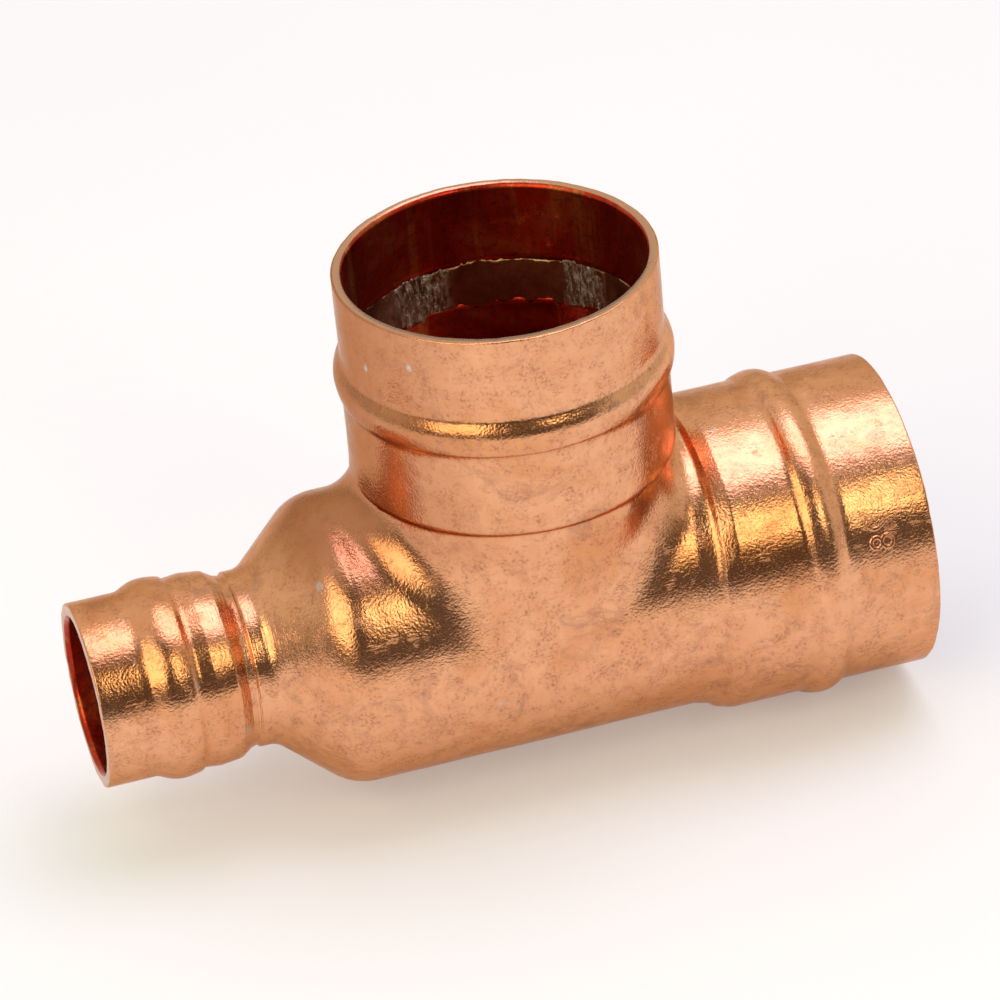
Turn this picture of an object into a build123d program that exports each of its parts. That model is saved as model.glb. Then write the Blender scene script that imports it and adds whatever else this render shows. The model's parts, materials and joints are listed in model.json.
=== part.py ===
"""Solder-ring reducing tee, 28 x 15 x 28 mm, for copper tube.

The origin is where the run axis meets the branch axis. +X runs to the large run socket, -X to the reduced
socket and +Z up the branch. Lengths are in millimetres.

One copper tube is formed into the body: its branch is drawn out of its side, one end is spun down to the
smaller size, and all three ends are opened out into sockets. A bead rolled into each socket holds a ring of
soft solder, which melts when the joint is heated and fills the gap round the tube by capillary action.
"""

import os

from build123d import *

# The tube that the body is formed from
TUBE_R = 14.0
WATERWAY_R = 13.0

# The branch's neck, drawn out of the tube: it opens upwards a little, and the crotch round it is rounded
NECK_R = 13.85
NECK_WATERWAY_R = 12.85
NECK_TAPER = -3.6
NECK_WATERWAY_TAPER = -2.0
CROTCH_ROUND = 3.5
INNER_CROTCH_ROUND = 4.6
CORE_X = 19.0

# Sockets for 28 mm tube, on the branch and on the run. Pairs run outwards along the socket's axis.
LARGE_BORE_R = 14.06
LARGE_MOUTH_R = 15.06
LARGE_SOCKET_R = 15.24
LARGE_BEAD_R = 15.9
BRANCH_MOUTH = 36.4
RUN_MOUTH = 36.2
BRANCH_BEAD = (24.35, 27.95)
RUN_BEAD = (24.0, 27.3)

# Where each large socket opens out, outside and at its tube stop. Both start inside the tube's wall.
BRANCH_SHOULDER = ((14.9, 14.0), (15.9, LARGE_SOCKET_R))
RUN_SHOULDER = ((12.3, 13.6), (15.2, 14.66), (16.7, LARGE_SOCKET_R))
LARGE_STOP = ((13.6, 12.2), (16.9, LARGE_BORE_R))

# The socket for 15 mm tube, on the reduced end of the run
SMALL_BORE_R = 7.55
SMALL_MOUTH_R = 8.82
SMALL_MOUTH = 43.2
SMALL_BEAD = (33.8, 38.15)
SMALL_BEAD_R = 9.7
GROOVE_LINE_R = 9.07
BARREL = ((30.2, 9.0), (32.2, 9.24))
SMALL_STOP = ((27.7, 5.9), (29.3, SMALL_BORE_R))
SMALL_WATERWAY_R = 6.5

# The cone, the spun collar and the crease between the tube and the reduced socket
CONE_X = (20.2, 26.55)
CONE_ROUND = (5.3, 2.0)
COLLAR_X = 28.1
COLLAR_R = 8.4
CREASE = (28.45, 8.1)
CREASE_ROUND = 2.2
INNER_CONE_X = (19.7, 27.07)
INNER_CONE_ROUND = (4.3, 3.0)

# Rims, and the solder rings in the grooves behind the beads
RIM_ROUND = 0.18
LEAD_IN = (0.18, 0.5)
LARGE_RING_DEPTH = 0.75
SMALL_RING_DEPTH = 0.85
RING_OVERLAP = 0.3
CUT_PAST = 1.0

# The half-plane of each arm's profile: its first direction runs out along the axis, the second is the radius
BRANCH_PLANE = Plane(origin=(0, 0, 0), x_dir=(0, 0, 1), z_dir=(0, 1, 0))
RUN_PLANE = Plane(origin=(0, 0, 0), x_dir=(1, 0, 0), z_dir=(0, -1, 0))
REDUCED_PLANE = Plane(origin=(0, 0, 0), x_dir=(-1, 0, 0), z_dir=(0, 1, 0))


def bead_and_rim(bead, radii, mouth, inner_end):
    """Draws an arm's outline from the start of its bead to its rim, then along the axis to inner_end."""
    start_r, crest_r, mouth_r = radii
    ThreePointArc((bead[0], start_r), (sum(bead) / 2, crest_r), (bead[1], mouth_r))
    Line((bead[1], mouth_r), (mouth - RIM_ROUND, mouth_r))
    RadiusArc((mouth - RIM_ROUND, mouth_r), (mouth, mouth_r - RIM_ROUND), RIM_ROUND)
    Polyline((mouth, mouth_r - RIM_ROUND), (mouth, 0), (inner_end[0], 0), inner_end)


def large_socket(plane, shoulder, bead, mouth):
    """The outside of a 28 mm socket as a closed section, starting inside the tube that it opens out of."""
    with BuildSketch(plane) as section:
        with BuildLine():
            Polyline(*shoulder, (bead[0], LARGE_SOCKET_R))
            bead_and_rim(bead, (LARGE_SOCKET_R, LARGE_BEAD_R, LARGE_MOUTH_R), mouth, shoulder[0])
        make_face()
    return section.sketch


def socket_bore(plane, mouth, stop):
    """A socket's hollow as a closed section: taper from the tube stop, bore, and lead-in past the mouth."""
    bore_r = stop[1][1]
    lead_r = bore_r + LEAD_IN[0]
    with BuildSketch(plane) as section:
        with BuildLine():
            Polyline(
                (stop[0][0], 0),
                *stop,
                (mouth - LEAD_IN[1], bore_r),
                (mouth, lead_r),
                (mouth + CUT_PAST, lead_r),
                (mouth + CUT_PAST, 0),
                close=True,
            )
        make_face()
    return section.sketch


def ring_section(plane, bead, bore_r, depth, past=0):
    """The groove behind a bead as a closed section, filled by its solder ring. A cut reaches past the bore."""
    start = bead[0] - RING_OVERLAP
    end = bead[1] + RING_OVERLAP
    with BuildSketch(plane) as section:
        with BuildLine():
            ThreePointArc((start, bore_r), (sum(bead) / 2, bore_r + depth), (end, bore_r))
            if past:
                Polyline((end, bore_r), (end, bore_r - past), (start, bore_r - past), (start, bore_r))
            else:
                Line((end, bore_r), (start, bore_r))
        make_face()
    return section.sketch


# The waterway through all three arms, up to their tube stops, as the solid that hollows out the body
with BuildPart() as waterway:
    with BuildSketch(REDUCED_PLANE):
        with BuildLine():
            FilletPolyline(
                (-CORE_X, WATERWAY_R),
                (INNER_CONE_X[0], WATERWAY_R),
                (INNER_CONE_X[1], SMALL_WATERWAY_R),
                (SMALL_BEAD[0], SMALL_WATERWAY_R),
                radius=INNER_CONE_ROUND,
            )
            Polyline(
                (SMALL_BEAD[0], SMALL_WATERWAY_R),
                (SMALL_BEAD[0], 0),
                (-CORE_X, 0),
                (-CORE_X, WATERWAY_R),
            )
        make_face()
    revolve(axis=Axis.X)
    run_edges = edges()
    with BuildSketch(Plane.XY):
        Circle(NECK_WATERWAY_R)
    extrude(amount=CORE_X, taper=NECK_WATERWAY_TAPER)
    fillet((edges() - run_edges).filter_by(GeomType.BSPLINE), INNER_CROTCH_ROUND)

# The copper body
with BuildPart() as tee_body:
    # The tube with its reduced arm: cone, collar, crease, barrel and bead
    with BuildSketch(REDUCED_PLANE):
        with BuildLine():
            FilletPolyline(
                (-CORE_X, TUBE_R),
                (CONE_X[0], TUBE_R),
                (CONE_X[1], COLLAR_R),
                (COLLAR_X, COLLAR_R),
                radius=CONE_ROUND,
            )
            Line((COLLAR_X, COLLAR_R), CREASE)
            RadiusArc(CREASE, BARREL[0], CREASE_ROUND)
            Spline(*BARREL, (SMALL_BEAD[0], GROOVE_LINE_R))
            bead_and_rim(
                SMALL_BEAD, (GROOVE_LINE_R, SMALL_BEAD_R, SMALL_MOUTH_R), SMALL_MOUTH, (-CORE_X, TUBE_R)
            )
        make_face()
    revolve(axis=Axis.X)

    # The branch's neck, drawn out of the tube with a rounded crotch
    run_edges = edges()
    with BuildSketch(Plane.XY):
        Circle(NECK_R)
    extrude(amount=CORE_X, taper=NECK_TAPER)
    fillet((edges() - run_edges).filter_by(GeomType.BSPLINE), CROTCH_ROUND)

    # The two large sockets
    add(large_socket(RUN_PLANE, RUN_SHOULDER, RUN_BEAD, RUN_MOUTH))
    revolve(axis=Axis.X)
    add(large_socket(BRANCH_PLANE, BRANCH_SHOULDER, BRANCH_BEAD, BRANCH_MOUTH))
    revolve(axis=Axis.Z)

    # The hollow inside: waterway, bores and ring grooves
    add(waterway.part, mode=Mode.SUBTRACT)
    add(socket_bore(RUN_PLANE, RUN_MOUTH, LARGE_STOP))
    add(socket_bore(REDUCED_PLANE, SMALL_MOUTH, SMALL_STOP))
    revolve(axis=Axis.X, mode=Mode.SUBTRACT)
    add(socket_bore(BRANCH_PLANE, BRANCH_MOUTH, LARGE_STOP))
    revolve(axis=Axis.Z, mode=Mode.SUBTRACT)
    add(ring_section(RUN_PLANE, RUN_BEAD, LARGE_BORE_R, LARGE_RING_DEPTH, CUT_PAST))
    add(ring_section(REDUCED_PLANE, SMALL_BEAD, SMALL_BORE_R, SMALL_RING_DEPTH, CUT_PAST))
    revolve(axis=Axis.X, mode=Mode.SUBTRACT)
    add(ring_section(BRANCH_PLANE, BRANCH_BEAD, LARGE_BORE_R, LARGE_RING_DEPTH, CUT_PAST))
    revolve(axis=Axis.Z, mode=Mode.SUBTRACT)

# The solder rings, one behind each bead
with BuildPart() as solder_ring_branch:
    add(ring_section(BRANCH_PLANE, BRANCH_BEAD, LARGE_BORE_R, LARGE_RING_DEPTH))
    revolve(axis=Axis.Z)

with BuildPart() as solder_ring_run:
    add(ring_section(RUN_PLANE, RUN_BEAD, LARGE_BORE_R, LARGE_RING_DEPTH))
    revolve(axis=Axis.X)

with BuildPart() as solder_ring_reduced:
    add(ring_section(REDUCED_PLANE, SMALL_BEAD, SMALL_BORE_R, SMALL_RING_DEPTH))
    revolve(axis=Axis.X)

tee_body.part.label = "tee_body"
solder_ring_branch.part.label = "solder_ring_branch"
solder_ring_run.part.label = "solder_ring_run"
solder_ring_reduced.part.label = "solder_ring_reduced"

os.makedirs("parts", exist_ok=True)
export_step(tee_body.part, "parts/tee_body.step")
export_step(solder_ring_branch.part, "parts/solder_ring_branch.step")
export_step(solder_ring_run.part, "parts/solder_ring_run.step")
export_step(solder_ring_reduced.part, "parts/solder_ring_reduced.step")
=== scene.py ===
# %% [markdown]
# # A solder-ring reducing tee, 28 x 15 x 28 mm
# A copper fitting for water pipes: the run goes along X, with the 28 mm socket at +X and the 15 mm socket at
# -X, and the branch goes up Z. The CAD part gives the frame and the sizes. The pieces here replace its
# surfaces with finely divided ones, which reflect cleanly and carry the marks of pressing and handling.

# %% Frame and tools
import json
import math

import bmesh
import bpy
import numpy as np
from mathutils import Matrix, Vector, noise

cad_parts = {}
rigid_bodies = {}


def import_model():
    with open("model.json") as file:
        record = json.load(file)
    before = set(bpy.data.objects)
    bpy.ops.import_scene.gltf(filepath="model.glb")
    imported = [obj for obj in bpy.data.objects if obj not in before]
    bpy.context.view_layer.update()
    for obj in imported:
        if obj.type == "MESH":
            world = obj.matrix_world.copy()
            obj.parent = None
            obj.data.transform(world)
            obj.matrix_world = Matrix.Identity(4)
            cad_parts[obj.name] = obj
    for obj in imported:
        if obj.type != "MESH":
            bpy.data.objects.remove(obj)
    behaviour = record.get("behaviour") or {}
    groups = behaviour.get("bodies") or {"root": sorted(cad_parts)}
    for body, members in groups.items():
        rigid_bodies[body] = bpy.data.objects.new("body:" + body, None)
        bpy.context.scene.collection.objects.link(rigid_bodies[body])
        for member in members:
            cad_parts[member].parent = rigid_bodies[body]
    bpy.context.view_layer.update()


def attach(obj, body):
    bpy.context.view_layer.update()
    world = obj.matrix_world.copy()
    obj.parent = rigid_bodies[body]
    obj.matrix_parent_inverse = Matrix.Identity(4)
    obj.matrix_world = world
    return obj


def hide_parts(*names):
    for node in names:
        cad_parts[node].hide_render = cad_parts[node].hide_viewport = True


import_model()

MM = 0.001

# %% [markdown]
# ## Profiles
# Every arm of the fitting was turned or rolled, so each surface is a profile spun round its arm's axis. A
# profile is a short list of (station, radius, rounding) corners in millimetres, read along the arm. Sampling
# the roundings as arcs, and long stretches in even steps, gives quads that are nearly square. The other way
# would be a subdivision cage, but its creases would have to be propped up with support loops.

# %% Corner lists and how they are sampled
STEP = 0.72


def arc_at(before, corner, after, radius, steps=6):
    """Points of the arc that rounds a corner between two straight stretches."""
    a = (before - corner).normalized()
    b = (after - corner).normalized()
    turn = math.pi - a.angle(b)
    if radius <= 0 or turn < 0.02:
        return [corner]
    centre = corner + (a + b).normalized() * (radius / math.cos(turn / 2))
    start = corner + a * radius * math.tan(turn / 2) - centre
    way = 1 if a.cross(b) < 0 else -1
    points = []
    for i in range(steps + 1):
        angle = way * turn * i / steps
        cos, sin = math.cos(angle), math.sin(angle)
        points.append(centre + Vector((start.x * cos - start.y * sin, start.x * sin + start.y * cos)))
    return points


def sampled(corners, step=STEP):
    """Turns (station, radius, rounding) corners into a fine line of points."""
    flat = [Vector(c[:2]) for c in corners]
    line = [flat[0]]
    for i in range(1, len(flat) - 1):
        line += arc_at(flat[i - 1], flat[i], flat[i + 1], corners[i][2])
    line.append(flat[-1])
    fine = [line[0]]
    for a, b in zip(line, line[1:]):
        count = max(1, math.ceil((b - a).length / step - 0.01))
        if (b - a).length > 1e-5:
            fine += [a.lerp(b, i / count) for i in range(1, count + 1)]
    return fine


def bead(start, end, foot_r, crest_r, end_r, steps=14):
    """A rolled bead as corners, from its sharp foot nearer the tube to its soft foot nearer the mouth."""
    corners = []
    for i in range(steps + 1):
        share = i / steps
        arch = math.sin(math.pi * share) ** (0.5 + 0.75 * share)
        base = foot_r + (end_r - foot_r) * share
        corners.append((start + (end - start) * share, base + (crest_r - max(foot_r, end_r)) * arch, 0))
    return corners


def groove(start, end, bore_r, depth, steps=10):
    """The groove behind a bead as corners: a shallow arc cut into the bore."""
    angles = [math.pi * i / steps for i in range(steps + 1)]
    middle, half = (start + end) / 2, (end - start) / 2
    return [(middle - half * math.cos(a), bore_r + depth * math.sin(a), 0) for a in angles]


# %% [markdown]
# The sizes are the CAD part's, apart from the beads: each is a little longer here, because its outer foot
# runs out softly. A bead or groove is a pair of stations, counted outwards along its arm.

# %% Sizes and the four profiles
TUBE_R, WATERWAY_R = 14.0, 13.0
NECK_R, NECK_BORE_R = 13.86, 12.85
SOCKET_R, BORE_R, MOUTH_R, CREST_R = 15.24, 14.06, 15.06, 15.9
RUN_MOUTH, BRANCH_MOUTH, SMALL_MOUTH = 36.2, 36.4, 43.2
RUN_BEAD, BRANCH_BEAD, SMALL_BEAD = (24.0, 27.7), (24.35, 28.1), (33.8, 38.3)
RUN_GROOVE, BRANCH_GROOVE, SMALL_GROOVE = (23.7, 27.6), (24.05, 28.25), (33.5, 38.45)
LARGE_RING, SMALL_RING = 0.75, 0.85
SMALL_SOCKET_R, SMALL_BORE_R, SMALL_MOUTH_R, SMALL_CREST_R = 9.07, 7.55, 8.82, 9.7

# The rims: a worn outer edge, and a lead-in that widens the bore for the tube
RIM_EDGE, RIM_ROUND = 0.2, 0.16
LARGE_LEAD, SMALL_LEAD, LEAD_LENGTH = 0.18, 0.16, 0.5

SMALL_BEAD_CORNERS = bead(*SMALL_BEAD, SMALL_SOCKET_R, SMALL_CREST_R, SMALL_MOUTH_R)

RUN_OUTSIDE = [
    (-SMALL_MOUTH, SMALL_MOUTH_R - RIM_EDGE, 0),
    (-SMALL_MOUTH, SMALL_MOUTH_R, RIM_ROUND),
    *[(-x, r, 0.0) for x, r, _ in reversed(SMALL_BEAD_CORNERS)],
    (-32.2, 9.24, 1.0),
    (-30.2, 9.0, 0.8),
    (-29.1, 8.28, 0.6),
    (-28.45, 8.1, 0.12),
    (-28.15, 8.4, 0.25),
    (-26.55, 8.4, 2.0),
    (-20.2, TUBE_R, 5.3),
    (13.4, TUBE_R, 0.9),
    (15.05, 14.42, 0.35),
    (15.6, 14.85, 0.35),
    (17.0, SOCKET_R, 1.6),
    *bead(*RUN_BEAD, SOCKET_R, CREST_R, MOUTH_R),
    (RUN_MOUTH, MOUTH_R, RIM_ROUND),
    (RUN_MOUTH, MOUTH_R - RIM_EDGE, 0),
]
RUN_INSIDE = [
    (-SMALL_MOUTH, SMALL_BORE_R + SMALL_LEAD, 0),
    (-SMALL_MOUTH + LEAD_LENGTH, SMALL_BORE_R, 0.5),
    *[(-x, r, 0) for x, r, _ in reversed(groove(*SMALL_GROOVE, SMALL_BORE_R, SMALL_RING))],
    (-29.3, SMALL_BORE_R, 0.5),
    (-28.35, 6.5, 0.6),
    (-27.07, 6.5, 3.0),
    (-19.7, WATERWAY_R, 4.3),
    (15.07, WATERWAY_R, 0.8),
    (16.9, BORE_R, 0.8),
    *groove(*RUN_GROOVE, BORE_R, LARGE_RING),
    (RUN_MOUTH - LEAD_LENGTH, BORE_R, 0.5),
    (RUN_MOUTH, BORE_R + LARGE_LEAD, 0),
]
BRANCH_OUTSIDE = [
    (14.5, NECK_R, 0),
    (15.1, 14.0, 0.7),
    (16.1, SOCKET_R, 1.0),
    *bead(*BRANCH_BEAD, SOCKET_R, CREST_R, MOUTH_R),
    (BRANCH_MOUTH, MOUTH_R, RIM_ROUND),
    (BRANCH_MOUTH, MOUTH_R - RIM_EDGE, 0),
]
BRANCH_INSIDE = [
    (14.3, NECK_BORE_R, 0),
    (15.2, 13.1, 0.5),
    (16.9, BORE_R, 0.8),
    *groove(*BRANCH_GROOVE, BORE_R, LARGE_RING),
    (BRANCH_MOUTH - LEAD_LENGTH, BORE_R, 0.5),
    (BRANCH_MOUTH, BORE_R + LARGE_LEAD, 0),
]

for label, corners in (("run", RUN_OUTSIDE), ("branch", BRANCH_OUTSIDE)):
    print(label, "outside:", len(corners), "corners,", len(sampled(corners)), "points")

# %% [markdown]
# ## The body's surface
# On the real fitting the branch is drawn out of the side of the tube through a smaller hole, which leaves a
# rounded crotch. It is full and soft towards the reducer, where the neck also widens, and tight against the
# 28 mm socket. At the front, where neck and tube are tangent, it fades to nothing and the neck flares
# upwards. A boolean union with a bevel would leave thin triangles just there. So the spun tube is opened
# over its top, the opening is bridged to the spun branch, and the bridge is moved onto the rounded union of
# the two shapes.

# %% The rounded union of run and branch
# The crotch's rounding in millimetres, by how far round the branch it is: -1 is the reducer's side
CROTCH_OUTSIDE = ((-1.0, -0.85, -0.5, 0.4, 0.8, 1.0), (3.3, 5.5, 12.5, 9.0, 7.0, 2.5))
CROTCH_INSIDE = ((-1.0, 0.0, 1.0), (4.6, 5.0, 2.0))
LEAST_ROUNDING = 0.015

# The oval neck: its least radius, and the flare in front with the height it starts at and rises over
OVAL_LEAST_R = 13.85
FRONT_FLARE, FLARE_FROM, FLARE_RISE = 0.6, 5, 9.5

# The run's shoulder beside the branch, where metal was drawn up: how far it is pushed out and spread along X
SHOULDER_X, SHOULDER_REACH = 15.2, 4.5
SHOULDER_PUSH, SHOULDER_SPREAD, SPREAD_X = 0.9, 0.6, 15.9


def radius_of(corners):
    """The profile as arrays of station and radius, for looking a radius up."""
    line = sampled(corners, 0.2)
    return np.array([p[0] for p in line]), np.array([p[1] for p in line])


def neck_radius(cos_x, z):
    """The oval neck's radius: the socket's own towards the reducer, and flaring upwards in front."""
    left = np.clip(-cos_x, 0, 1) ** 4
    in_front = np.clip((0.9 - cos_x) / 0.4, 0, 1)
    front = FRONT_FLARE * in_front * np.clip((z - FLARE_FROM) / FLARE_RISE, 0, 1) ** 2
    return OVAL_LEAST_R + (SOCKET_R - OVAL_LEAST_R) * np.maximum(left, front)


def shoulder_drift(x, y, z):
    """How far along X the run's shoulder has moved at a point, which is nothing on the underside."""
    height = z / np.maximum(np.hypot(y, z), 1e-6)
    lift = np.clip((height - 0.15) / 0.65, 0, 1)
    fade = np.clip((height - 0.62) / 0.25, 0, 1)
    push = SHOULDER_PUSH * lift**2 * (3 - 2 * lift)
    spread = SHOULDER_SPREAD * fade * np.clip((x - SPREAD_X) / 2, -1, 1)
    return (push + spread) * np.clip(1 - np.abs(x - SHOULDER_X) / SHOULDER_REACH, 0, 1)


def rounded_union(p, run, branch, crotch, oval):
    """How far points lie outside the union of a run and a branch, with a rounded crotch between them."""
    x, y, z = p.T
    run_r = np.interp(x - shoulder_drift(x, y, z) if oval else x, *run)
    slope = (np.interp(x + 0.2, *run) - np.interp(x - 0.2, *run)) / 0.4
    around_x = np.hypot(y, z)
    from_run = (around_x - run_r) / np.hypot(1, slope)
    around_z = np.hypot(x, y)
    cos_x = x / np.maximum(around_z, 1e-6)
    branch_r = np.interp(z, *branch)
    if oval:
        branch_r = np.maximum(branch_r, neck_radius(cos_x, z))
    from_branch = around_z - branch_r
    # The rounding fades where the two surfaces are tangent, as there is no corner to fill
    facing = (y / np.maximum(around_x, 1e-6)) * (y / np.maximum(around_z, 1e-6))
    blunt = (1 - np.sqrt((1 + np.clip(facing, 0, 1)) / 2)) / (1 - math.sqrt(0.5))
    rounding = np.interp(cos_x, *crotch) * np.clip(blunt, LEAST_ROUNDING, 1)
    inner_run = np.maximum(rounding - from_run, 0)
    inner_branch = np.maximum(rounding - from_branch, 0)
    return np.maximum(rounding, np.minimum(from_run, from_branch)) - np.hypot(inner_run, inner_branch)


def onto_union(p, far, rounds=14):
    """Moves points onto the surface where far() is zero."""
    for _ in range(rounds):
        here = far(p)
        gradient = np.stack([(far(p + d) - far(p - d)) / 0.02 for d in np.eye(3) * 0.01], 1)
        size = np.maximum((gradient**2).sum(1), 0.05)
        p = p - (np.clip(here, -0.6, 0.6) / size)[:, None] * gradient
    return p


union_sample = np.array([[0.0, 0.0, SOCKET_R]])
run_sample = radius_of(RUN_OUTSIDE)
branch_sample = radius_of(BRANCH_OUTSIDE)
depth = rounded_union(union_sample, run_sample, branch_sample, CROTCH_OUTSIDE, True)[0]
print("a point on the branch's axis lies", round(-float(depth), 2), "mm inside the rounded union")

# %% [markdown]
# The grid of the bridge comes from the ring of edges round the opening, so the branch is spun in as many
# steps as that ring has edges. The bridge is then smoothed and moved back onto the union in turns, which
# spreads its rows evenly. The run's shoulder next to the branch is relaxed with it, so that no crease stays
# there.

# %% Spinning, opening and bridging
COLUMNS = 128
OPEN_COLUMNS = 54
OPEN_FROM, OPEN_TO = -19.6, 15.5
HOLE_MARGIN = 2
BRIDGE_ROWS = 20
RELAX_ROUNDS = 18
NECK_FOOT_Z = 12.0


def spin_round(bm, wire, edges, axis, count):
    """Spins a wire a full turn round X or Z, joined where it meets itself."""
    bmesh.ops.spin(
        bm,
        geom=wire + edges,
        cent=(0, 0, 0),
        axis=(1, 0, 0) if axis == "X" else (0, 0, 1),
        angle=math.tau,
        steps=count,
        use_merge=True,
    )


def spun(bm, corners, axis, count):
    """Adds a profile, sampled and spun a full turn round X or Z."""
    line = sampled(corners)
    if axis == "X":
        wire = [bm.verts.new((p[0], 0, p[1])) for p in line]
    else:
        wire = [bm.verts.new((p[1], 0, p[0])) for p in line]
    edges = [bm.edges.new(pair) for pair in zip(wire, wire[1:])]
    spin_round(bm, wire, edges, axis, count)


def tee_surface(run_corners, branch_corners, neck_foot, crotch, oval):
    """One wall of the tee, outside or inside, open at its three mouths."""
    bm = bmesh.new()
    spun(bm, run_corners, "X", COLUMNS)
    if oval:
        for v in bm.verts:
            v.co.x += float(shoulder_drift(*v.co))
    half_turn = OPEN_COLUMNS * math.pi / COLUMNS
    opened = []
    for face in bm.faces:
        c = face.calc_center_median()
        open_to = OPEN_TO + float(shoulder_drift(*c)) * oval
        if OPEN_FROM < c.x < open_to and abs(math.atan2(c.y, c.z)) < half_turn:
            opened.append(face)
    bmesh.ops.delete(bm, geom=opened, context="FACES")
    hole_low, hole_high = OPEN_FROM - HOLE_MARGIN, OPEN_TO + HOLE_MARGIN
    hole = [e for e in bm.edges if e.is_boundary and hole_low < e.verts[0].co.x < hole_high]
    ring_count = len(hole)
    before = set(bm.verts)
    spun(bm, branch_corners, "Z", ring_count)
    foot_z = branch_corners[0][0]
    foot = [e for e in bm.edges if e.is_boundary and all(abs(v.co.z - foot_z) < 1e-4 for v in e.verts)]
    foot = [e for e in foot if e.verts[0] not in before]
    bridged = bmesh.ops.bridge_loops(bm, edges=hole + foot)
    across = [e for e in bridged["edges"] if not e.is_boundary]
    grown = bmesh.ops.subdivide_edges(bm, edges=across, cuts=BRIDGE_ROWS, use_grid_fill=True)
    rows = [g for g in grown["geom_inner"] if isinstance(g, bmesh.types.BMVert)]
    run = radius_of(run_corners)
    branch = radius_of([neck_foot, *branch_corners])

    def far(p):
        return rounded_union(p, run, branch, crotch, oval)

    def settle(verts):
        places = onto_union(np.array([v.co[:] for v in verts]), far)
        for v, place in zip(verts, places):
            v.co = place

    # The run's shoulder under the branch's socket is relaxed together with the bridge
    over_shoulder = [v for v in before if v.is_valid and 12 < v.co.x < 19.5 and v.co.z > 11.5]
    loose = rows + over_shoulder
    settle(loose)
    for _ in range(RELAX_ROUNDS):
        bmesh.ops.smooth_vert(
            bm, verts=loose, factor=0.5, use_axis_x=True, use_axis_y=True, use_axis_z=True
        )
        settle(loose)
    # All that lies near the crotch then settles on the union, since the profiles alone are not rounded there
    near = []
    for v in bm.verts:
        if -21 < v.co.x < 19 and abs(v.co.y) < 17 and -1 < v.co.z < 24:
            near.append(v)
    settle(near)
    print("wall:", len(bm.faces), "faces, bridge ring of", ring_count)
    return bm


def rim_edges(bm, axis, station):
    """The open edges of a mouth."""
    return [e for e in bm.edges if e.is_boundary and all(abs(v.co[axis] - station) < 1e-4 for v in e.verts)]


outside = tee_surface(RUN_OUTSIDE, BRANCH_OUTSIDE, (NECK_FOOT_Z, NECK_R, 0), CROTCH_OUTSIDE, True)
inside = tee_surface(RUN_INSIDE, BRANCH_INSIDE, (NECK_FOOT_Z, NECK_BORE_R, 0), CROTCH_INSIDE, False)

# %% [markdown]
# The outside and the inside are joined at the three cut rims. The tube was sawn and faced there, so each rim
# is a flat ring between the worn outer edge and the lead-in that the profiles already have. Each face keeps
# a number for the finish it gets: outside, rim or inside.

# %% Joining the walls at the rims
OUTSIDE, RIM, INSIDE = 0, 1, 2

for face in outside.faces:
    face.material_index = OUTSIDE
for face in inside.faces:
    face.material_index = INSIDE
inner_mesh = bpy.data.meshes.new("inner_wall")
inside.to_mesh(inner_mesh)
inside.free()
body_bm = outside
body_bm.from_mesh(inner_mesh)
bpy.data.meshes.remove(inner_mesh)
for axis, station in ((0, RUN_MOUTH), (0, -SMALL_MOUTH), (2, BRANCH_MOUTH)):
    rim = bmesh.ops.bridge_loops(body_bm, edges=rim_edges(body_bm, axis, station))
    for face in rim["faces"]:
        face.material_index = RIM
for face in body_bm.faces:
    face.smooth = True
bmesh.ops.recalc_face_normals(body_bm, faces=body_bm.faces[:])
body_bm.normal_update()
print("joined walls:", len(body_bm.faces), "faces")

# %% [markdown]
# The forming tools left the skin a few hundredths of a millimetre from its true shape, and that is what bends
# the long reflections of the real fitting. Noise along the normals does the same here. The rims are worn back
# a little and unevenly. A bump map could not do either, since it leaves the outline straight.

# %% Waviness and worn rims
WAVE_DEPTH, WAVE_SCALE = 0.035, 0.16
RIPPLE_DEPTH, RIPPLE_SCALE, RIPPLE_SHIFT = 0.014, 0.45, Vector((7, 3, 1))
RIM_DEPTH = 0.3
MOUTHS = (Vector((RUN_MOUTH, 0, 0)), Vector((-SMALL_MOUTH, 0, 0)), Vector((0, 0, BRANCH_MOUTH)))


def waviness(point):
    """How far forming left the skin from its true shape."""
    wave = WAVE_DEPTH * noise.noise(point * WAVE_SCALE)
    return wave + RIPPLE_DEPTH * noise.noise(point * RIPPLE_SCALE + RIPPLE_SHIFT)


def rim_wear(point):
    """How far a rim is worn back."""
    return 0.05 + 0.05 * noise.noise(point * 0.25) + 0.04 * noise.noise(point * 1.1)


def as_object(bm, name):
    """Turns a bmesh in millimetres into an object of the scene, in metres."""
    bmesh.ops.scale(bm, vec=(MM, MM, MM), verts=bm.verts[:])
    mesh = bpy.data.meshes.new(name)
    bm.to_mesh(mesh)
    bm.free()
    made = bpy.data.objects.new(name, mesh)
    bpy.context.scene.collection.objects.link(made)
    return made


for v in body_bm.verts:
    v.co += v.normal * waviness(v.co)
    for mouth in MOUTHS:
        outwards = mouth.normalized()
        if v.co.dot(outwards) > mouth.length - RIM_DEPTH:
            v.co -= outwards * rim_wear(v.co)
open_edges = sum(not e.is_manifold for e in body_bm.edges)
print("body:", open_edges, "open edges, volume", round(body_bm.calc_volume()), "mm3")
body = as_object(body_bm, "copper_body")
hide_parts("tee_body")
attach(body, "root")

# %% [markdown]
# ## Solder rings
# Each bead holds a ring of soft solder, pressed in as wire. It fills the groove, stands a little proud of the
# bore and smears past the groove's edges. So the section is the groove's arc closed by a slightly swollen
# face, spun round the arm, and noise then moves the face's two edges in and out along the bore. The groove's
# side stays a little clear of the body, so that the two surfaces don't flicker through each other.

# %% The three rings
RING_PROUD, RING_CLEARANCE, RING_SUNK = 0.09, 0.03, 0.015
SMEAR_IN, SMEAR_OUT = 0.55, 0.15
RING_COLUMNS, FACE_STEPS = 288, 14


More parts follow.
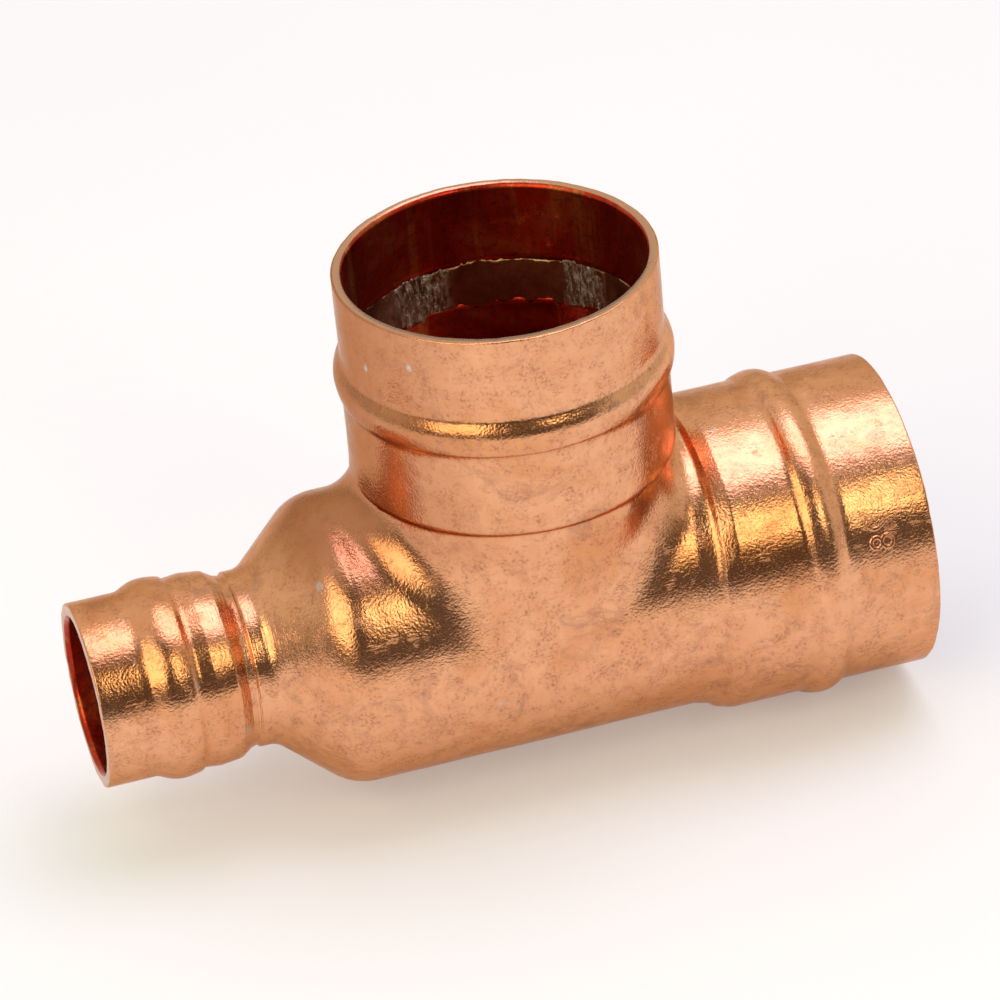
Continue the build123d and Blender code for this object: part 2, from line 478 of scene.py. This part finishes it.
def solder_ring(name, axis, way, ends, bore_r, depth):
    """A ring of solder on the X or Z axis, on the side that way gives."""
    bm = bmesh.new()
    seat = groove(*ends, bore_r, depth - RING_CLEARANCE)[1:-1]
    start, end = ends[0] - SMEAR_IN, ends[1] + SMEAR_OUT
    face = []
    for i in range(FACE_STEPS + 1):
        share = i / FACE_STEPS
        swell = RING_PROUD * math.sin(math.pi * share)
        face.append((end + (start - end) * share, bore_r + RING_SUNK - swell))
    loop = [(x, r) for x, r, _ in seat] + face
    if axis == "X":
        wire = [bm.verts.new((way * x, 0, r)) for x, r in loop]
    else:
        wire = [bm.verts.new((r, 0, way * x)) for x, r in loop]
    edges = [bm.edges.new((wire[i - 1], wire[i])) for i in range(len(wire))]
    spin_round(bm, wire, edges, axis, RING_COLUMNS)
    bmesh.ops.remove_doubles(bm, verts=bm.verts[:], dist=1e-5)
    along = Vector((way, 0, 0)) if axis == "X" else Vector((0, 0, way))
    middle = sum(ends) / 2
    for v in bm.verts:
        station = v.co.dot(along)
        out = v.co - along * station
        if out.length < bore_r + 0.02:
            wander = 0.5 * noise.noise(out * 0.35) + 0.35 * noise.noise(out * 1.3)
            wander += 0.25 * noise.noise(out * 3.1)
            v.co += along * wander * (station - middle) / (end - middle)
            lump = 0.025 * noise.noise(v.co * 0.9) + 0.02 * noise.noise(v.co * 2.5)
            v.co -= out.normalized() * (waviness(v.co) + lump)
    bmesh.ops.recalc_face_normals(bm, faces=bm.faces[:])
    for f in bm.faces:
        f.smooth = True
    print(name + ":", len(bm.faces), "faces, from", round(start, 2), "to", round(end, 2), "mm")
    return as_object(bm, name)


ring_branch = solder_ring("branch_solder", "Z", 1, BRANCH_GROOVE, BORE_R, LARGE_RING)
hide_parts("solder_ring_branch")
ring_run = solder_ring("run_solder", "X", 1, RUN_GROOVE, BORE_R, LARGE_RING)
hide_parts("solder_ring_run")
ring_reduced = solder_ring("reduced_solder", "X", -1, SMALL_GROOVE, SMALL_BORE_R, SMALL_RING)
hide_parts("solder_ring_reduced")
RINGS = (ring_branch, ring_run, ring_reduced)
for ring in RINGS:
    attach(ring, "root")

# %% [markdown]
# ## Size mark
# The socket carries its tube size near the rim. The real mark is stamped, but at this size only its edges
# show, so the numerals are raised: shapes from the built-in font, bevelled, wrapped round the socket and
# about a tenth of a millimetre proud. They follow the skin's waviness, so that they stay in sight all along.

# %% The size mark
MARK_X, MARK_ANGLE, MARK_SIZE = 32.2, 25.0, 3.5
MARK_HEIGHT, MARK_EDGE, MARK_DEPTH, MARK_SUNK = 0.12, 0.13, 0.4, 0.2
LONGEST_EDGE, EDGE_CUTS = 0.45, 4


def size_mark(text):
    """The text wrapped round the run socket, reading down its front."""
    curve = bpy.data.curves.new("size_mark_text", "FONT")
    curve.body = text
    curve.size = MARK_SIZE
    curve.extrude = MARK_DEPTH
    curve.bevel_depth = MARK_EDGE
    curve.bevel_resolution = 1
    curve.offset = -MARK_EDGE / 2
    curve.align_x = "CENTER"
    written = bpy.data.objects.new("size_mark_text", curve)
    mesh = bpy.data.meshes.new_from_object(written)
    bm = bmesh.new()
    bm.from_mesh(mesh)
    bmesh.ops.remove_doubles(bm, verts=bm.verts[:], dist=1e-4)
    bmesh.ops.triangulate(bm, faces=bm.faces[:])
    long_edges = [e for e in bm.edges if e.calc_length() > LONGEST_EDGE]
    bmesh.ops.subdivide_edges(bm, edges=long_edges, cuts=EDGE_CUTS)
    bmesh.ops.triangulate(bm, faces=bm.faces[:])
    for v in bm.verts:
        across, up, side = v.co
        angle = math.radians(MARK_ANGLE) - across / MOUTH_R
        out = Vector((0, -math.cos(angle), math.sin(angle)))
        skin = Vector((MARK_X - up, 0, 0)) + out * MOUTH_R
        rise = (side - MARK_DEPTH) / MARK_EDGE * MARK_HEIGHT if side > 0 else -MARK_SUNK
        v.co = skin + out * (rise + waviness(skin))
    bmesh.ops.recalc_face_normals(bm, faces=bm.faces[:])
    open_edges = sum(not e.is_manifold for e in bm.edges)
    print("size mark:", len(bm.faces), "faces,", open_edges, "open edges")
    bpy.data.meshes.remove(mesh)
    bpy.data.objects.remove(written)
    bpy.data.curves.remove(curve)
    return as_object(bm, "size_mark")


mark = size_mark("28")
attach(mark, "root")

# %% [markdown]
# ## Finishes
# Every finish is made from noise on Object coordinates, which run on over the seams between the pieces and
# need no unwrapping. Groups make the varying colours, roughness and heights, and the shader of each material
# takes them. These helpers keep each node and its links on one line. Noise scales are counts per metre.

# %% Node helpers


def add_node(tree, kind, inputs=(), **settings):
    """Adds a node, sets its options, and links or sets its inputs."""
    made = tree.nodes.new(kind)
    for name, value in settings.items():
        setattr(made, name, value)
    for name, value in dict(inputs).items():
        if isinstance(value, bpy.types.NodeSocket):
            tree.links.new(value, made.inputs[name])
        else:
            made.inputs[name].default_value = value
    return made


def ramp(tree, value, stops):
    """A colour ramp through (position, colour) stops."""
    made = add_node(tree, "ShaderNodeValToRGB", {"Fac": value})
    elements = made.color_ramp.elements
    while len(elements) < len(stops):
        elements.new(0.5)
    for element, (position, colour) in zip(elements, stops):
        element.position = position
        element.color = (*colour, 1) if len(colour) == 3 else colour
    return made.outputs["Color"]


def grade(tree, value, low, high, to_low=0.0, to_high=1.0):
    """Maps a value's range low..high to another range, kept within it."""
    made = add_node(
        tree,
        "ShaderNodeMapRange",
        {"Value": value, "From Min": low, "From Max": high, "To Min": to_low, "To Max": to_high},
    )
    return made.outputs["Result"]


def cloud(tree, where, scale, detail=3.0, rough=0.55, distortion=0.0):
    """Plain noise, from 0 to 1."""
    made = add_node(
        tree,
        "ShaderNodeTexNoise",
        {"Vector": where, "Scale": scale, "Detail": detail, "Roughness": rough, "Distortion": distortion},
    )
    return made.outputs["Fac"]


def maths(tree, operation, a, b=0.5):
    """A math node of two values."""
    made = tree.nodes.new("ShaderNodeMath")
    made.operation = operation
    for socket, value in zip(made.inputs, (a, b)):
        if isinstance(value, bpy.types.NodeSocket):
            tree.links.new(value, socket)
        else:
            socket.default_value = value
    return made.outputs[0]


def new_group(name, outputs):
    """An empty effect group with the given outputs, and its Object coordinates."""
    tree = bpy.data.node_groups.new(name, "ShaderNodeTree")
    for label, kind in outputs:
        tree.interface.new_socket(name=label, in_out="OUTPUT", socket_type=kind)
    where = add_node(tree, "ShaderNodeTexCoord").outputs["Object"]
    end = add_node(tree, "NodeGroupOutput")
    return tree, where, end


def mix_colour(tree, share, a, b, blend="MIX"):
    """Mixes two colours."""
    made = add_node(tree, "ShaderNodeMix", data_type="RGBA", blend_type=blend)
    for index, value in ((0, share), (6, a), (7, b)):
        if isinstance(value, bpy.types.NodeSocket):
            tree.links.new(value, made.inputs[index])
        elif index == 0:
            made.inputs[index].default_value = value
        else:
            made.inputs[index].default_value = (*value, 1)
    return made.outputs[2]


def stretched(tree, where, scale, rotation=(0, 0, 0)):
    """The coordinates turned and stretched, for marks that run one way."""
    made = add_node(tree, "ShaderNodeMapping", {"Vector": where, "Scale": scale, "Rotation": rotation})
    return made.outputs["Vector"]


# %% [markdown]
# ### Pressed copper
# Forming and pickling leave a fine grain like orange peel, which breaks the edges of every reflection. Over
# it lie handling scratches, faint rings from the spinning rollers, oxide smudges, and small grey specks of
# solder, and painted shade darkens the upper skin on the branch's reducer side. Each mark is a group of its
# own, so that the rims and the inside can share it.

# %% The copper's effect groups
def make_grain():
    """Height of the pickled grain: orange peel with a finer stipple."""
    tree, where, end = new_group("copper_grain", [("Height", "NodeSocketFloat")])
    peel = cloud(tree, where, 900, 2.0, 0.5)
    stipple = cloud(tree, where, 4200, 2.0, 0.5)
    total = maths(tree, "MULTIPLY_ADD", peel, 0.7)
    tree.links.new(stipple, total.node.inputs[2])
    tree.links.new(total, end.inputs["Height"])
    return tree


SCRATCH_WIDTH = 0.02
SCRATCHES_ONE_WAY = ((0.3, 0.9, 0.4), (420, 5200, 5200))
SCRATCHES_ACROSS = ((1.1, -0.5, 1.9), (360, 4300, 4300))


def make_scratches():
    """Height and mask of short handling scratches in two directions."""
    tree, where, end = new_group(
        "copper_scratches", [("Height", "NodeSocketFloat"), ("Mask", "NodeSocketFloat")]
    )
    total = None
    for turn, size in (SCRATCHES_ONE_WAY, SCRATCHES_ACROSS):
        lines = cloud(tree, stretched(tree, where, size, turn), 1.0, 1.0, 0.4)
        near = maths(tree, "ABSOLUTE", maths(tree, "SUBTRACT", lines, 0.5))
        line = grade(tree, near, 0.0, SCRATCH_WIDTH, 1.0, 0.0)
        spread = grade(tree, cloud(tree, where, 520, 2.0), 0.60, 0.70)
        line = maths(tree, "MULTIPLY", line, spread)
        total = line if total is None else maths(tree, "MAXIMUM", total, line)
    tree.links.new(total, end.inputs["Mask"])
    tree.links.new(maths(tree, "MULTIPLY", total, -1.0), end.inputs["Height"])
    return tree


NECK_X, FOLD_X = -0.0275, -0.0185


def make_spin_marks():
    """Height of the rings that the rollers left in the neck of the reducer, and of a fold on its shoulder."""
    tree, where, end = new_group("spin_marks", [("Height", "NodeSocketFloat")])
    place = add_node(tree, "ShaderNodeSeparateXYZ", {"Vector": where})
    rings = cloud(tree, stretched(tree, where, (5200, 130, 130)), 1.0, 2.0, 0.6)
    from_neck = maths(tree, "ABSOLUTE", maths(tree, "ADD", place.outputs["X"], -NECK_X))
    near_neck = grade(tree, from_neck, 0.0016, 0.0045, 1, 0)
    total = maths(tree, "MULTIPLY", rings, near_neck)
    from_fold = maths(tree, "ABSOLUTE", maths(tree, "ADD", place.outputs["X"], -FOLD_X))
    fold = grade(tree, from_fold, 0.0, 0.0003, 1, 0)
    above = grade(tree, place.outputs["Z"], 0.008, 0.012)
    fold = maths(tree, "MULTIPLY", maths(tree, "MULTIPLY", fold, above), 0.45)
    total = maths(tree, "SUBTRACT", total, fold)
    tree.links.new(total, end.inputs["Height"])
    return tree


def make_tarnish():
    """Colour of the pickled copper, with painted shade on the branch's reducer side, and how dull it is."""
    tree, where, end = new_group(
        "copper_colour_and_shade", [("Color", "NodeSocketColor"), ("Roughness", "NodeSocketFloat")]
    )
    # The metal's own colour wanders broadly, and a finer mottle and dark pepper lie over it
    broad = cloud(tree, where, 70, 4.0, 0.6, 0.6)
    fine = cloud(tree, where, 620, 4.0, 0.65)
    base = ramp(
        tree,
        broad,
        [(0.32, (0.74, 0.34, 0.165)), (0.5, (0.82, 0.41, 0.22)), (0.66, (0.72, 0.31, 0.135))],
    )
    mottled = mix_colour(tree, grade(tree, fine, 0.42, 0.72, 0.0, 0.3), base, (0.56, 0.24, 0.13))
    pepper = cloud(tree, where, 3400, 2.0, 0.6)
    pepper = maths(tree, "MULTIPLY", grade(tree, pepper, 0.48, 0.70, 0.0, 0.7), grade(tree, fine, 0.42, 0.62))
    peppered = mix_colour(tree, pepper, mottled, (0.36, 0.14, 0.075))
    # Oxide smudges, and then painted shade high on the branch's reducer side
    blotch = grade(tree, cloud(tree, where, 190, 5.0, 0.75, 1.0), 0.54, 0.74, 0.0, 0.65)
    smudged = mix_colour(tree, blotch, peppered, (0.36, 0.17, 0.12))
    # Painted shade: the upper skin on the reducer's side of the branch is darkened towards a deep brown
    place = add_node(tree, "ShaderNodeSeparateXYZ", {"Vector": where})
    left_side = grade(tree, place.outputs["X"], -0.0155, -0.006, 1.0, 0.0)
    high_up = grade(tree, place.outputs["Z"], 0.009, 0.013)
    browned = maths(tree, "MULTIPLY", maths(tree, "MULTIPLY", left_side, high_up), 0.75)
    smudged = mix_colour(tree, browned, smudged, (0.40, 0.15, 0.07))
    # A few grey specks of solder that splashed on the skin
    specks = add_node(tree, "ShaderNodeTexVoronoi", {"Vector": where, "Scale": 210.0})
    ragged = maths(tree, "ADD", specks.outputs["Distance"], maths(tree, "MULTIPLY", fine, 0.3))
    speck = grade(tree, ragged, 0.18, 0.24, 1.0, 0.0)
    chosen = grade(tree, cloud(tree, where, 120, 1.0), 0.53, 0.57)
    speck = maths(tree, "MULTIPLY", speck, chosen)
    tree.links.new(mix_colour(tree, speck, smudged, (0.52, 0.54, 0.55)), end.inputs["Color"])
    dull = grade(tree, fine, 0.3, 0.75, 0.13, 0.26)
    dull = maths(tree, "MAXIMUM", dull, maths(tree, "MULTIPLY", blotch, 0.6))
    tree.links.new(dull, end.inputs["Roughness"])
    return tree


GRAIN = make_grain()
SPIN_MARKS = make_spin_marks()
SCRATCHES = make_scratches()
TARNISH = make_tarnish()
for group in (GRAIN, SPIN_MARKS, SCRATCHES, TARNISH):
    print("group", group.name + ":", len(group.nodes), "nodes")

# %% [markdown]
# The outer skin takes all four groups. It is bare metal, so it is fully metallic but for a trace, and its
# tint at grazing angles is copper's own. Bumps of hundredths of a millimetre stack the marks over the grain.


# %% The outer skin's material
def new_material(name):
    """A material with its node tree and shader."""
    made = bpy.data.materials.new(name)
    made.use_nodes = True
    tree = made.node_tree
    return made, tree, tree.nodes["Principled BSDF"]


def group_in(tree, group):
    """The outputs of an effect group put in a material."""
    return add_node(tree, "ShaderNodeGroup", node_tree=group).outputs


def bumped(tree, layers):
    """Chains bumps: each layer is (height, strength, distance)."""
    normal = None
    for height, strength, distance in layers:
        inputs = {"Height": height, "Strength": strength, "Distance": distance}
        if normal is not None:
            inputs["Normal"] = normal
        normal = add_node(tree, "ShaderNodeBump", inputs).outputs["Normal"]
    return normal


def pressed_copper():
    """The outside: pickled copper with the marks of forming and handling, and painted shade beside the
    branch.
    """
    made, tree, shader = new_material("pressed_copper")
    tarnish = group_in(tree, TARNISH)
    grain = group_in(tree, GRAIN)
    scratches = group_in(tree, SCRATCHES)
    spin_marks = group_in(tree, SPIN_MARKS)
    tree.links.new(tarnish["Color"], shader.inputs["Base Color"])
    tree.links.new(tarnish["Roughness"], shader.inputs["Roughness"])
    shader.inputs["Metallic"].default_value = 0.98
    shader.inputs["Specular Tint"].default_value = (0.80, 0.62, 0.50, 1)
    marks = [(spin_marks["Height"], 0.5, 0.00008), (scratches["Height"], 0.4, 0.00004)]
    normal = bumped(tree, [(grain["Height"], 0.55, 0.00006), *marks])
    tree.links.new(normal, shader.inputs["Normal"])
    return made


# %% [markdown]
# The saw left the rims duller than the skin and nearly one colour, with only the handling scratches darker.
# So they share the skin's grain and scratches, with a narrow ramp of colours in place of the tarnish.


# %% The rims' material
def cut_rim():
    """The sawn and faced rims, duller than the skin."""
    made, tree, shader = new_material("cut_rim")
    grain = group_in(tree, GRAIN)
    scratches = group_in(tree, SCRATCHES)
    scratched = grade(tree, scratches["Mask"], 0, 1)
    colour = ramp(tree, scratched, [(0.0, (0.58, 0.33, 0.20)), (1.0, (0.36, 0.19, 0.11))])
    tree.links.new(colour, shader.inputs["Base Color"])
    tree.links.new(grade(tree, grain["Height"], 0.8, 1.8, 0.26, 0.42), shader.inputs["Roughness"])
    shader.inputs["Metallic"].default_value = 1.0
    normal = bumped(tree, [(grain["Height"], 0.3, 0.00005), (scratches["Height"], 0.5, 0.00004)])
    tree.links.new(normal, shader.inputs["Normal"])
    return made


# %% [markdown]
# Annealing left cuprous oxide inside, which pickling did not reach: a deep red with orange streaks along the
# branch and dark specks. Reflections between the walls deepen it, so the metal's own colour can be plain
# patches of noise.


# %% The inside's material
def red_oxide():
    """The inside, which kept the red oxide of annealing."""
    made, tree, shader = new_material("red_oxide")
    where = add_node(tree, "ShaderNodeTexCoord").outputs["Object"]
    grain = group_in(tree, GRAIN)
    scratches = group_in(tree, SCRATCHES)
    patches = cloud(tree, where, 130, 5.0, 0.6, 0.8)
    colour = ramp(
        tree,
        patches,
        [(0.3, (0.34, 0.018, 0.007)), (0.5, (0.48, 0.035, 0.012)), (0.7, (0.52, 0.12, 0.035))],
    )
    streaks = cloud(tree, stretched(tree, where, (420, 420, 40)), 1.0, 3.0, 0.6)
    colour = mix_colour(tree, grade(tree, streaks, 0.54, 0.68, 0.0, 0.7), colour, (0.62, 0.22, 0.05))
    soot = cloud(tree, where, 1500, 4.0, 0.7)
    colour = mix_colour(tree, grade(tree, soot, 0.50, 0.66, 0.0, 0.6), colour, (0.10, 0.03, 0.015))
    tree.links.new(colour, shader.inputs["Base Color"])
    tree.links.new(grade(tree, patches, 0.3, 0.7, 0.20, 0.40), shader.inputs["Roughness"])
    shader.inputs["Metallic"].default_value = 0.9
    normal = bumped(tree, [(grain["Height"], 0.25, 0.00006), (scratches["Height"], 0.4, 0.00004)])
    tree.links.new(normal, shader.inputs["Normal"])
    return made


# %% [markdown]
# The solder is brown with flux and oxide almost all the way round. Two stretches at the back of the branch's
# ring are bare, silver-grey and crusty. Their places are angles round the branch, in radians from +X.

# %% The solder's material
BARE_RIGHT, BARE_LEFT = 0.70, 1.88


def soft_solder():
    """Solder with brown flux and oxide on its skin, bare in two places."""
    made, tree, shader = new_material("soft_solder")
    where = add_node(tree, "ShaderNodeTexCoord").outputs["Object"]
    grain = group_in(tree, GRAIN)
    patches = cloud(tree, where, 260, 5.0, 0.6, 0.5)
    colour = ramp(
        tree,
        patches,
        [(0.35, (0.44, 0.31, 0.19)), (0.55, (0.36, 0.20, 0.10)), (0.75, (0.20, 0.09, 0.04))],
    )
    place = add_node(tree, "ShaderNodeSeparateXYZ", {"Vector": where})
    turn = maths(tree, "ARCTAN2", place.outputs["Y"], place.outputs["X"])
    from_right = maths(tree, "ABSOLUTE", maths(tree, "SUBTRACT", turn, BARE_RIGHT))
    from_left = maths(tree, "ABSOLUTE", maths(tree, "SUBTRACT", turn, BARE_LEFT))
    right = grade(tree, from_right, 0.09, 0.19, 1.0, 0.0)
    left = grade(tree, from_left, 0.14, 0.28, 1.0, 0.0)
    drags = cloud(tree, stretched(tree, where, (2600, 2600, 700)), 1.0, 4.0, 0.7)
    bare = maths(tree, "MULTIPLY", maths(tree, "MAXIMUM", left, right), grade(tree, drags, 0.42, 0.60))
    colour = mix_colour(tree, bare, colour, (0.80, 0.76, 0.68))
    tree.links.new(colour, shader.inputs["Base Color"])
    tree.links.new(grade(tree, bare, 0.0, 1.0, 0.34, 0.42), shader.inputs["Roughness"])
    tree.links.new(grade(tree, bare, 0.0, 1.0, 1.0, 0.65), shader.inputs["Metallic"])
    crust = maths(tree, "MULTIPLY", bare, cloud(tree, where, 1500, 4.0, 0.7))
    marks = [(grain["Height"], 0.5, 0.00008), (drags, 0.5, 0.00012), (crust, 1.0, 0.0004)]
    tree.links.new(bumped(tree, marks), shader.inputs["Normal"])
    return made


PRESSED = pressed_copper()
SOLDER = soft_solder()
for material in (PRESSED, cut_rim(), red_oxide()):
    body.data.materials.append(material)
mark.data.materials.append(PRESSED)
for ring in RINGS:
    ring.data.materials.append(SOLDER)
for piece in (body, mark, *RINGS):
    print(piece.name + ":", [m.name for m in piece.data.materials])

# %% [markdown]
# ## Studio
# The fitting lies on a white table that glows faintly, like a light table, which softens its shadow. Two
# warm softboxes stand in front, left and right of the camera, and a broad pale one hangs overhead. Copper
# looks the colour of what it reflects, so their sizes and places are what draws the bright stretches on the
# tube.

# %% Floor
FLOOR_Z, FLOOR_HALF = -0.0159, 3.0
floor_bm = bmesh.new()
bmesh.ops.create_grid(floor_bm, x_segments=1, y_segments=1, size=FLOOR_HALF)
bmesh.ops.translate(floor_bm, vec=(0, 0, FLOOR_Z), verts=floor_bm.verts[:])
floor_mesh = bpy.data.meshes.new("table_top")
floor_bm.to_mesh(floor_mesh)
floor_bm.free()
table_top = bpy.data.objects.new("table_top", floor_mesh)
bpy.context.scene.collection.objects.link(table_top)


def white_table():
    """A matt white table top that glows faintly."""
    made, tree, shader = new_material("white_table")
    where = add_node(tree, "ShaderNodeTexCoord").outputs["Object"]
    patches = cloud(tree, where, 9, 2.0)
    colour = ramp(tree, patches, [(0.3, (0.70, 0.74, 0.80)), (0.7, (0.72, 0.76, 0.82))])
    tree.links.new(colour, shader.inputs["Base Color"])
    shader.inputs["Roughness"].default_value = 0.9
    shader.inputs["Emission Color"].default_value = (1.0, 1.0, 1.0, 1)
    shader.inputs["Emission Strength"].default_value = 0.24
    return made


table_top.data.materials.append(white_table())


# %% [markdown]
# Each light is placed by its direction and by how many degrees it spans, seen from the fitting, since that is
# how it shows in the metal.


# %% Lights
def direction(azimuth, elevation):
    """The unit vector towards an azimuth (from +X, towards +Y) and elevation in degrees."""
    a, e = math.radians(azimuth), math.radians(elevation)
    return Vector((math.cos(a) * math.cos(e), math.sin(a) * math.cos(e), math.sin(e)))


def softbox(name, azimuth, elevation, wide, high, power, colour, shape="RECTANGLE", distance=0.7):
    """An area light that faces the origin and spans so many degrees each way."""
    data = bpy.data.lights.new(name, "AREA")
    data.shape = shape
    data.size = 2 * distance * math.tan(math.radians(wide / 2))
    data.size_y = 2 * distance * math.tan(math.radians(high / 2))
    data.energy = power * data.size * data.size_y
    data.color = colour
    light = bpy.data.objects.new(name, data)
    light.location = direction(azimuth, elevation) * distance
    light.rotation_mode = "QUATERNION"
    light.rotation_quaternion = direction(azimuth, elevation).to_track_quat("Z", "Y")
    bpy.context.scene.collection.objects.link(light)
    print(name + ":", round(data.size, 3), "x", round(data.size_y, 3), "m,", round(data.energy, 2), "W")


softbox("left_softbox", 220, 37, 38, 40, 8.0, (1.0, 0.88, 0.56))
softbox("right_softbox", 290, 40, 16, 23, 10.0, (1.0, 0.90, 0.56))
softbox("overhead", 15, 74, 42, 42, 5.9, (0.88, 0.76, 1.0), "ELLIPSE")

# %% [markdown]
# The rest of the room is a plain warm grey, a little brighter higher up. Behind the camera it is dark, and
# that dark zone gives the skin facing the camera its deep brown reflections. A picture of a room would also
# work, but a gradient has no shapes in it that could be mistaken for marks on the metal.

# %% Surroundings
BEHIND_CAMERA = direction(256, 12)

world = bpy.data.worlds.new("studio")
bpy.context.scene.world = world
world.use_nodes = True
sky = world.node_tree
seen = add_node(sky, "ShaderNodeTexCoord").outputs["Generated"]
towards = add_node(sky, "ShaderNodeVectorMath", {0: seen, 1: BEHIND_CAMERA}, operation="DOT_PRODUCT")
behind_camera = grade(sky, towards.outputs["Value"], 0.30, 0.62)
height = add_node(sky, "ShaderNodeSeparateXYZ", {"Vector": seen}).outputs["Z"]
up = grade(sky, height, 0.0, 0.9)
round_about = ramp(
    sky,
    up,
    [(0.0, (0.62, 0.60, 0.52)), (0.4, (0.78, 0.72, 0.58)), (1.0, (0.85, 0.80, 0.72))],
)
room = mix_colour(sky, behind_camera, round_about, (0.10, 0.08, 0.07))
backdrop = sky.nodes["Background"]
sky.links.new(room, backdrop.inputs["Color"])
backdrop.inputs["Strength"].default_value = 1.0
print("world:", len(sky.nodes), "nodes")

# %% [markdown]
# ## Camera
# A long lens looks down on the fitting from the front left, with a slight roll. Its long reach keeps the
# three rims' ellipses nearly parallel, as in a product picture. The plain view transform keeps the white
# white.

# %% Camera
camera_data = bpy.data.cameras.new("camera")
camera_data.lens = 203.4
camera_data.sensor_width = 36.0
camera_data.clip_start, camera_data.clip_end = 0.01, 20.0
camera = bpy.data.objects.new("camera", camera_data)
camera.location = (-0.10957, -0.43549, 0.29135)
camera.rotation_euler = [math.radians(a) for a in (57.847, 4.788, -16.917)]
bpy.context.scene.collection.objects.link(camera)
bpy.context.scene.camera = camera
bpy.context.scene.view_settings.view_transform = "Standard"
print("camera:", round(camera.location.length, 3), "m from the origin")
